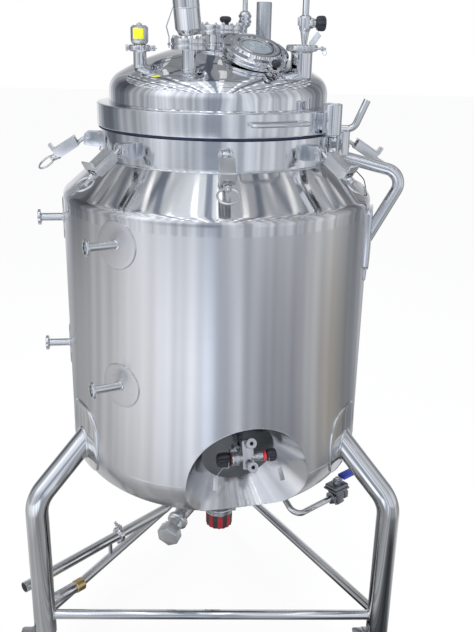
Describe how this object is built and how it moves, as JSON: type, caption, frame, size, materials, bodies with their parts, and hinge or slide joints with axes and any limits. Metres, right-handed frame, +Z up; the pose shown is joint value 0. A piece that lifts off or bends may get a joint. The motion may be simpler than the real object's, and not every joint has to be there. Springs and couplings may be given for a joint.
{
  "type": "jacketed process vessel",
  "caption": "Jacketed stainless process vessel on three bent tube legs, with a domed clamped lid, sight glass, lamp, nozzles and an outlet funnel.",
  "frame": {"origin": "middle of the base, on the floor under the part's bounding box", "axes": "+Z up, -Y towards the outlet funnel's side (the front)"},
  "size_m": [1.3016, 1.2898, 2.29],
  "materials": {
    "mirror_steel": "mirror polished stainless steel",
    "satin_steel": "satin stainless steel",
    "polished_steel": "polished stainless steel",
    "dark_steel": "dull cast stainless steel",
    "castor_steel": "pressed steel with a grey tread",
    "black_rubber": "matt",
    "black_plastic": "semi-gloss",
    "red_grip": "semi-gloss, dark red and black",
    "blue_sleeve": "semi-gloss vinyl sleeve",
    "sight_glass": "clear"
  },
  "bodies": {
    "vessel": {"ball_valve": "dark_steel", "body_flange": "mirror_steel", "bottom_grip": "red_grip", "bottom_valve": "polished_steel", "breather_cap": "polished_steel", "breather_nozzle": "polished_steel", "castor_left": "castor_steel", "castor_rear": "castor_steel", "castor_right": "castor_steel", "davit_barrel": "polished_steel", "davit_socket": "polished_steel", "drain_pipe": "polished_steel", "drain_stub": "polished_steel", "hatch_cover": "mirror_steel", "hatch_glass": "sight_glass", "hatch_knob": "black_plastic", "hatch_neck": "mirror_steel", "inner_vessel": "satin_steel", "jacket_bottom": "satin_steel", "jacket_shell": "satin_steel", "leg_left": "polished_steel", "leg_rear": "polished_steel", "leg_right": "polished_steel", "lid_dome": "mirror_steel", "lid_flange": "mirror_steel", "lid_gasket": "black_rubber", "lid_handle": "polished_steel", "light_nozzle": "polished_steel", "middle_port": "polished_steel", "nozzle_lower_front": "polished_steel", "nozzle_lower_side": "polished_steel", "nozzle_upper_front": "polished_steel", "nozzle_upper_side": "polished_steel", "outlet_funnel": "satin_steel", "outlet_knob_left": "black_plastic", "outlet_knob_right": "black_plastic", "outlet_valve": "polished_steel", "port_knob": "black_plastic", "push_handle": "polished_steel", "rail_front": "polished_steel", "rail_left": "polished_steel", "rail_right": "polished_steel", "sensor_branch": "polished_steel", "side_pipe": "polished_steel", "sight_lamp": "polished_steel", "spray_knob": "black_plastic", "spray_nozzle": "polished_steel", "spray_valve": "polished_steel", "vent_pipe": "polished_steel", "vent_valve": "polished_steel"},
    "swing_clamp_1": {"swing_clamp_1": "polished_steel"},
    "swing_clamp_2": {"swing_clamp_2": "polished_steel"},
    "swing_clamp_3": {"swing_clamp_3": "polished_steel"},
    "swing_clamp_4": {"swing_clamp_4": "polished_steel"},
    "swing_clamp_5": {"swing_clamp_5": "polished_steel"},
    "swing_clamp_6": {"swing_clamp_6": "polished_steel"},
    "swing_clamp_7": {"swing_clamp_7": "polished_steel"},
    "swing_clamp_8": {"swing_clamp_8": "polished_steel"},
    "valve_lever": {"valve_lever": "blue_sleeve"}
  },
  "joints": [
    {"name": "swing_clamp_1_swing", "type": "hinge", "parent": "vessel", "child": "swing_clamp_1", "pos_m": [0.04992, -0.48156, 1.827], "axis": [-0.9986, -0.0523, 0], "range_deg": [0, 122.5]},
    {"name": "swing_clamp_2_swing", "type": "hinge", "parent": "vessel", "child": "swing_clamp_2", "pos_m": [0.32354, -0.35831, 1.827], "axis": [-0.7009, -0.7132, 0], "range_deg": [0, 122.5]},
    {"name": "swing_clamp_3_swing", "type": "hinge", "parent": "vessel", "child": "swing_clamp_3", "pos_m": [0.44168, -0.04646, 1.827], "axis": [0.0523, -0.9986, 0], "range_deg": [0, 122.5]},
    {"name": "swing_clamp_4_swing", "type": "hinge", "parent": "vessel", "child": "swing_clamp_4", "pos_m": [0.30527, 0.23953, 1.827], "axis": [0.7431, -0.6691, 0], "range_deg": [0, 122.5]},
    {"name": "swing_clamp_5_swing", "type": "hinge", "parent": "vessel", "child": "swing_clamp_5", "pos_m": [0.00658, 0.3453, 1.827], "axis": [0.9986, 0.0523, 0], "range_deg": [0, 122.5]},
    {"name": "swing_clamp_6_swing", "type": "hinge", "parent": "vessel", "child": "swing_clamp_6", "pos_m": [-0.27941, 0.20889, 1.827], "axis": [0.6691, 0.7431, 0], "range_deg": [0, 122.5]},
    {"name": "swing_clamp_7_swing", "type": "hinge", "parent": "vessel", "child": "swing_clamp_7", "pos_m": [-0.38518, -0.0898, 1.827], "axis": [-0.0523, 0.9986, 0], "range_deg": [0, 122.5]},
    {"name": "swing_clamp_8_swing", "type": "hinge", "parent": "vessel", "child": "swing_clamp_8", "pos_m": [-0.24877, -0.37579, 1.827], "axis": [-0.7431, 0.6691, 0], "range_deg": [0, 122.5]},
    {"name": "valve_lever_turn", "type": "hinge", "parent": "vessel", "child": "valve_lever", "pos_m": [0.46425, -0.23613, 0.662], "axis": [0, 0, 1], "range_deg": [-90, 0]}
  ]
}
